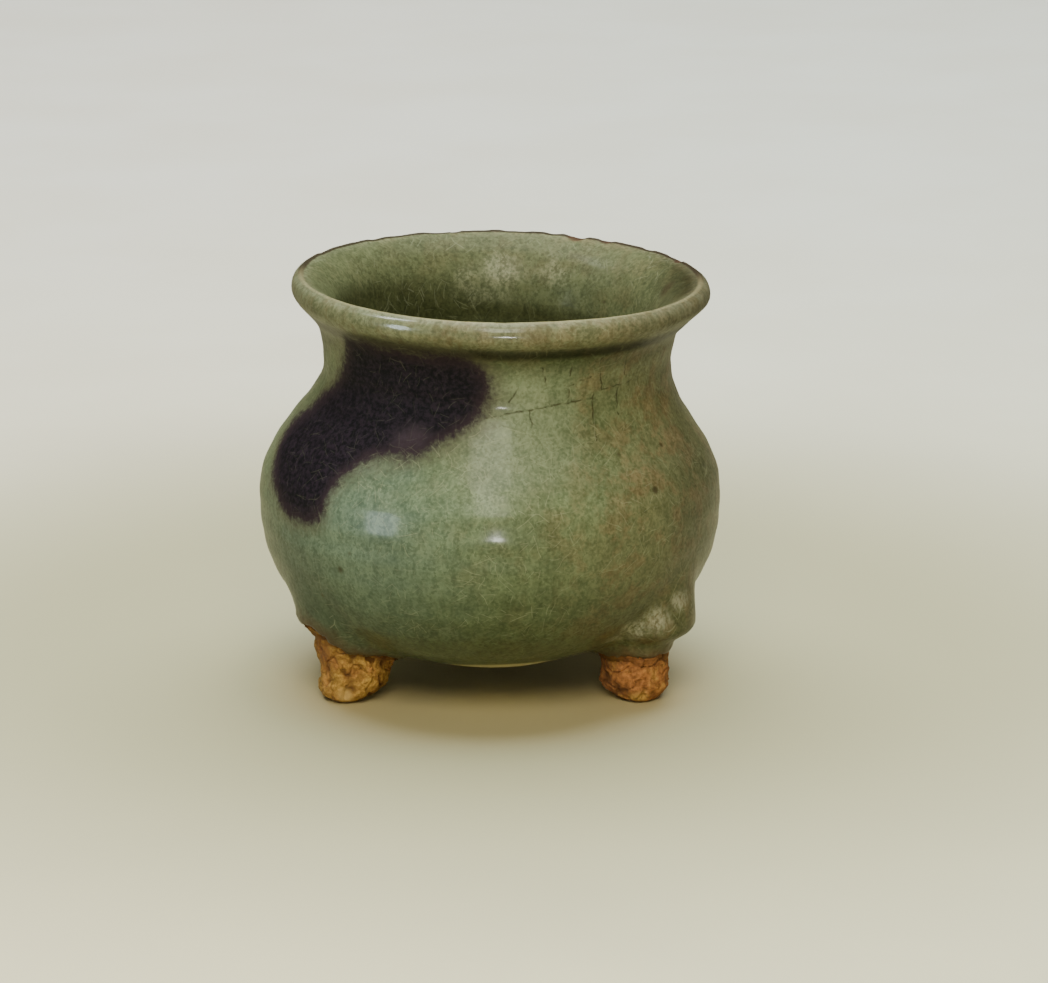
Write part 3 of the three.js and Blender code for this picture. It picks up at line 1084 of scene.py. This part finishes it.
# Painted reflection: a greyish plum patch on the splash stands in for a lamp's reflection.
lamp_reflection_painted = spot(where, (-13.5, -31, 50), 5.5, 5.0) * 0.65
purple = mixed(lamp_reflection_painted, purple, color(68, 56, 66))
purple = mixed(remap(splash_depth, 0.4, 3.4), color(44, 32, 38), purple)
splash_share = remap(splash_depth, -1.1, 1.2)
green = mixed(splash_share, green, purple)

# %% [markdown]
# Cracks are dark because dirt has worked into them. Each pair of neighbouring places below is one straight
# piece. The same crack group draws them all, and noise breaks the line where the crack closes up.

# %% Crazing on the neck and shoulder
unrolled_radius = 30.2
unrolled_turn = maths("ARCTAN2", y, x - neck_lean)
crack_wander = (grain(where, 1.3, 3.0) - 0.5) * 1.1
flattened = {"X": unrolled_turn * unrolled_radius + crack_wander, "Y": z + crack_wander}
unrolled = made(tree, "ShaderNodeCombineXYZ", flattened)
cracks = [
    [(267, 54.0), (278, 55.0), (290, 55.8), (302.5, 56.2)],
    [(294, 62.6), (293.7, 56.0)],
    [(293.3, 58.8), (301.6, 59.9)],
    [(303.7, 63.1), (306.3, 57.4), (319.1, 57.7)],
    [(302.8, 56.6), (301.5, 49.5)],
    [(312.7, 56.8), (312.0, 52.6)],
    [(314.6, 62.6), (315.6, 59.1)],
    [(280.8, 55.0), (281.2, 52.4)],
    [(277.8, 59.6), (274.2, 56.6)],
    [(284.5, 62.5), (285.5, 59.5)],
]


def on_neck(azimuth_degrees, height_mm):
    return (math.radians(azimuth_degrees - 360) * unrolled_radius, height_mm, 0)


def crack_mask(start, end):
    ends = {"Unrolled": unrolled, "From": on_neck(*start), "To": on_neck(*end)}
    return placed(tree, crack, ends)["Mask"]


crazing = highest(*[crack_mask(*ends) for line in cracks for ends in zip(line, line[1:])])
crazing = crazing * remap(grain(where, 1.5, 3.0), 0.34, 0.56)
green = mixed(crazing * 0.85, green, color(50, 48, 26))

# %% [markdown]
# Scratches are pale, because a broken surface scatters light. Long and short ones cross all over the coat,
# and a slow mask gathers them where hands and cloths have rubbed. They are fainter inside and on the
# splash. The right knee has been scuffed white.

# %% Scratches and scuffs
hair_kinds = [(8.0, 0.09, 0.5), (4.8, 0.1, 0.8), (3.6, 0.1, 0.9), (2.7, 0.09, 1.0), (2.0, 0.09, 1.0)]
outwards = vectors("NORMALIZE", vectors("SUBTRACT", where, (0, 0, belly_height)))
hair_masks = []
for number, (length, width, share) in enumerate(hair_kinds):
    moved = vectors("ADD", where, (31.0 * number, 17.0 * number, 11.0 * number))
    values = {"Where": moved, "Length": length, "Width": width, "Share": share, "Outwards": outwards}
    hair_masks.append(placed(tree, scratches, values)["Mask"])
rubbed = remap(grain(where, 12.0, 2.0), 0.38, 0.62, 0.25, 1.0)
hairs = highest(*hair_masks) * rubbed * (1.0 - splash_share * 0.75)
hair_strength = remap(inside, 0.0, 1.0, 0.32, 0.2)
green = mixed(hairs * hair_strength, green, color(166, 172, 140))
scuffed_places = [
    ((21.3, -23, 12.6), 2.4),
    ((24.6, -23.8, 14.9), 3.8),
    ((28.6, -23, 16.8), 4.2),
    ((31.4, -20.5, 19.2), 3.2),
]
scuffed_knee = highest(*[spot(where, middle, radius, 3.5) for middle, radius in scuffed_places])
scuff_turn = (0, math.radians(25), 0)
scuff_lines = remap(grain(where, 0.6, 3.0, 0.6, (1, 1, 0.6), scuff_turn), 0.34, 0.66, 0.16)
scuff = scuffed_knee * scuff_lines * 0.68
green = mixed(scuff, green, color(172, 172, 148))

# %% [markdown]
# A few marks belong to this one pot: dark specks where grit burst through the coat, a smudge of smoke
# inside the rim on the right and dull pale stains on the wall inside. A pale line along the drip under the
# bowl is a painted highlight, where the bowl's lowest edge catches light from the table.

# %% Single marks
marks = [
    ((27.9, -26.4, 40.5), 1.0, 0.6, (48, 40, 20)),
    ((29.1, -19.1, 46.4), 0.7, 0.5, (54, 46, 24)),
    ((-25.0, -30.7, 27.7), 1.1, 0.8, (50, 50, 28)),
    ((-28.2, -25.3, 21.7), 0.8, 0.8, (56, 54, 32)),
    ((31.0, 5.7, 67.4), 2.6, 1.6, (60, 54, 36)),
]
for middle, mark_radius, ragged, tint in marks:
    green = mixed(spot(where, middle, mark_radius, ragged) * 0.8, green, color(*tint))
for middle, stain_radius in [((1, 28, 65.5), 5.5), ((11.5, 26, 66), 4.0), ((-4, 27.5, 62.5), 4.0)]:
    stain = spot(where, middle, stain_radius, 7.0) * remap(fleck_share, 0.25, 0.85, 0.06, 0.27)
    green = mixed(stain, green, color(172, 176, 144))
# Painted highlight: a pale line along the drip under the bowl stands in for light caught at its lowest
# edge.
bead_painted_highlight = remap(attribute(tree, "bead"), 0.14, 0.45)
green = mixed(bead_painted_highlight * 0.9, green, color(236, 230, 184))

# %% [markdown]
# The rim's crest is the thinnest glaze of all. At the front it is a pale line, and at the back it is worn
# down to dark, stained clay. The coat's lower edge is brown too, and past it the clay is bare.

# %% Crest, lower edge and bare clay
rim_here = remap(level, 65.2, 67.4) * outside_share
green = mixed(rim_here * 0.4, green, flecked((90, 94, 72), (148, 150, 122)))
rim_blotches = remap(grain(where, 2.4, 4.0, 0.65, (1, 1, 0.6)), 0.48, 0.66) * rim_here * 0.45
green = mixed(rim_blotches, green, color(84, 74, 46))
back_share = remap(y, -14.0, 6.0)
crest_line = remap(attribute(tree, "crest") + feather * 0.6 + back_share * 0.25, 0.5, 0.9)
crest_color = mixed(back_share, color(160, 154, 114), color(44, 35, 24))
crest_strength = remap(back_share, 0.0, 1.0, 0.3, 0.9)
green = mixed(crest_line * crest_strength, green, crest_color)
cover_value = attribute(tree, "cover")
thin_edge = remap(cover_value + feather * 2.0, 3.2, 0.2)
green = mixed(thin_edge * 0.7, green, color(78, 54, 32))
bare = placed(tree, clay, {"Where": where, "Redness": 0.4, "Hollow": 0.5, "Cover": -1.0})
chip_depth = attribute(tree, "chipped") + feather * 0.25
chip_share = remap(chip_depth, 0.1, 0.27) * 0.85
chip_color = mixed(fleck_share, color(46, 34, 25), color(80, 58, 42))
green = mixed(chip_share, green, chip_color)
bare_share = remap(cover_value, 0.1, -0.2)
feed(shader, {"Base Color": mixed(bare_share, green, bare["Color"])})

# %% [markdown]
# The body of the glaze is satin, and a thin glossier layer lies over it, so a lamp gives a sharp spark
# inside a soft glow. Chips, scuffs and bare clay have neither. The splash, the inside and the rim have
# lost most of the glossy layer, except in two patches at the front of the rim. Bump carries the
# orange-peel of the coat, the open cracks and the grain of bare clay.

# %% Gloss and relief of the glaze
dullness = highest(bare_share, chip_share, scuff * 0.8)
gloss = remap(flow["Flecks"], 0.0, 1.0, 0.48, 0.38) + hairs * 0.2
gloss = between(splash_share, gloss, 0.7)
rim_dullness = remap(level, 61.0, 65.0) * remap(x, -24.0, -6.0, 0.2, 0.85) * outside_share
coat_loss = highest(dullness, splash_share, rim_dullness, inside * 0.8)
coat = (1.0 - coat_loss) * 0.22
for middle, gloss_radius, strength in [((-15.5, -31.3, 71), 6.0, 0.9), ((0.5, -34.8, 71), 11.0, 0.5)]:
    coat = highest(coat, spot(where, middle, gloss_radius, 3.0) * strength)
feed(shader, {"Roughness": between(dullness, gloss, 0.85), "Coat Weight": coat})
feed(shader, {"Coat Roughness": 0.13, "Specular IOR Level": 0.2})

relief = flow["Flecks"] * 0.05 + grain(where, 2.6, 2.0) * 0.25 - flow["Pinholes"] * 0.25
relief = relief - crazing * 0.15 + bare["Height"] * bare_share * 0.8
feed(shader, {"Normal": bumped(relief, 0.4, 0.5)})
glazed_pot.data.materials.append(glaze)

# %% [markdown]
# The pads of slip that hold the feet are inside the skin, where only a break would show them. They keep
# their solids from the frame and get the red clay finish that a break would bare.

# %% Hidden slip
for name in feet:
    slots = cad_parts["slip_" + name].data.materials
    slots.clear()
    slots.append(clay_material("slip_" + name, 0.9))

# %% [markdown]
# The burner stands on a plain pale table that is a little warmer towards the camera. It is painted darker
# round the pot, a painted shadow that deepens the real one, and right under the pot a lighter, warmer tan
# is painted in, painted light that lifts the shadow there. Farther out, bounced light and reflections see a
# duller table than the camera does, so that it doesn't flood the pot from below. The floor is staging, not
# part of the object.

# %% Floor
floor_size = 6.0
corner = floor_size / 2
floor_mesh = bpy.data.meshes.new("floor")
floor_corners = [(-corner, -corner, 0), (corner, -corner, 0), (corner, corner, 0), (-corner, corner, 0)]
floor_mesh.from_pydata(floor_corners, [], [(0, 1, 2, 3)])
floor = bpy.data.objects.new("floor", floor_mesh)
bpy.context.scene.collection.objects.link(floor)
floor_material, tree, shader = new_material("pale_floor")
where = place(tree)
across, away, up = fields(put(tree, "ShaderNodeSeparateXYZ", {0: where})).values()
table = mixed(remap(away, -260.0, 520.0), color(231, 227, 190), color(219, 221, 211))
soiled = remap(grain(where, 60.0, 4.0), 0.3, 0.7) * 0.25
table = mixed(soiled, table, color(204, 200, 178))
ray = fields(put(tree, "ShaderNodeLightPath"))
table = mixed(ray["Is Diffuse Ray"], table, color(178, 170, 140))
table = mixed(ray["Is Glossy Ray"], table, color(118, 114, 94))
table = mixed(remap(across, -90.0, 90.0), table, color(250, 254, 255), "MULTIPLY")
near_pot = remap(vectors("DISTANCE", where, (0, 20, 0)), 205.0, 75.0, 0.0, 0.9)
table = mixed(near_pot, table, color(168, 168, 134))
# Painted light: a lighter, warmer tan right under the pot lifts the shadow there.
under_pot_painted_light = remap(vectors("DISTANCE", where, (0, -4, 0)), 44.0, 28.0)
table = mixed(under_pot_painted_light, table, color(196, 188, 152))
feed(shader, {"Base Color": table, "Roughness": 0.7, "Specular IOR Level": 0.05})
floor.data.materials.append(floor_material)

# %% [markdown]
# Soft light from above and a little behind keeps the shadow close under the bowl, as in a small light
# tent. Three weaker lamps fill in from the front. One of them lights only the burner and one only the feet
# and the table, which no real lamp could do, but it lets each be matched by itself. The other six light
# nothing and are only mirrored in the coat: a gleam and a spark on the belly, a cool window on its left, a
# spark and a sheen on the rim, and a gleam inside the mouth. The room is bright above and dim at the
# horizon.

# %% Lights
def lamp(name, azimuth, elevation, distance, width, tall, watts, tint, gleam=True, lights=True, only=None):
    """An oval lamp aimed at the pot. Azimuth 0 is in front, and positive azimuths are to the right."""
    data = bpy.data.lights.new(name, "AREA")
    data.shape = "ELLIPSE"
    data.size = width
    data.size_y = tall
    data.energy = watts
    data.color = tint
    light = bpy.data.objects.new(name, data)
    turn = math.radians(azimuth)
    rise = math.radians(elevation)
    direction = Vector((math.sin(turn) * math.cos(rise), -math.cos(turn) * math.cos(rise), math.sin(rise)))
    aim = Vector((0, 0, belly_height)) * MM
    light.location = aim + direction * distance
    light.rotation_euler = direction.to_track_quat("Z", "Y").to_euler()
    light.visible_diffuse = lights
    light.visible_glossy = gleam
    if only:
        light.light_linking.receiver_collection = only
    bpy.context.scene.collection.objects.link(light)


burner = bpy.data.collections.new("burner")
for piece in (glazed_pot, *clay_feet):
    burner.objects.link(piece)
low_pieces = bpy.data.collections.new("low_pieces")
for piece in (floor, *clay_feet):
    low_pieces.objects.link(piece)

lamp("overhead", 180, 77, 1.5, 1.8, 1.4, 50, (0.995, 0.995, 0.985), gleam=False)
lamp("warm_fill", -2, 42, 1.6, 0.9, 0.7, 15, (1.0, 0.87, 0.56), gleam=False)
lamp("front_fill", -12, 38, 1.6, 0.7, 0.6, 9.6, (0.95, 1.0, 1.0), gleam=False, only=burner)
lamp("low_fill", 2, 5, 1.0, 0.6, 0.12, 2.0, (1.0, 0.92, 0.74), gleam=False, only=low_pieces)
lamp("belly_gleam", 1, 36, 0.9, 0.26, 0.2, 1.0, (1.0, 0.98, 0.86), lights=False)
lamp("window", -55, 8, 0.9, 0.24, 0.34, 2.8, (0.78, 0.92, 1.0), lights=False)
lamp("front_spark", 3, 0.5, 0.5, 0.055, 0.03, 0.5, (1.0, 0.98, 0.95), lights=False)
lamp("rim_spark", -92, 56, 0.8, 0.14, 0.32, 1.7, (0.92, 0.97, 1.0), lights=False)
lamp("rim_sheen", 180, 74, 1.2, 0.8, 0.8, 3.0, (1.0, 0.99, 0.95), lights=False)
lamp("mouth_gleam", -2, 54, 0.9, 0.3, 0.4, 1.6, (1.0, 0.98, 0.92), lights=False)

world = bpy.data.worlds.new("soft_room")
bpy.context.scene.world = world
world.use_nodes = True
room = world.node_tree
sky = made(room, "ShaderNodeTexCoord", output="Generated")
up = made(room, "ShaderNodeSeparateXYZ", {0: sky}, "Z")
shade = mixed(remap(up, 0.05, 0.8), (0.24, 0.21, 0.15, 1), (0.78, 0.76, 0.68, 1))
feed(room.nodes["Background"], {"Color": shade, "Strength": 0.25})
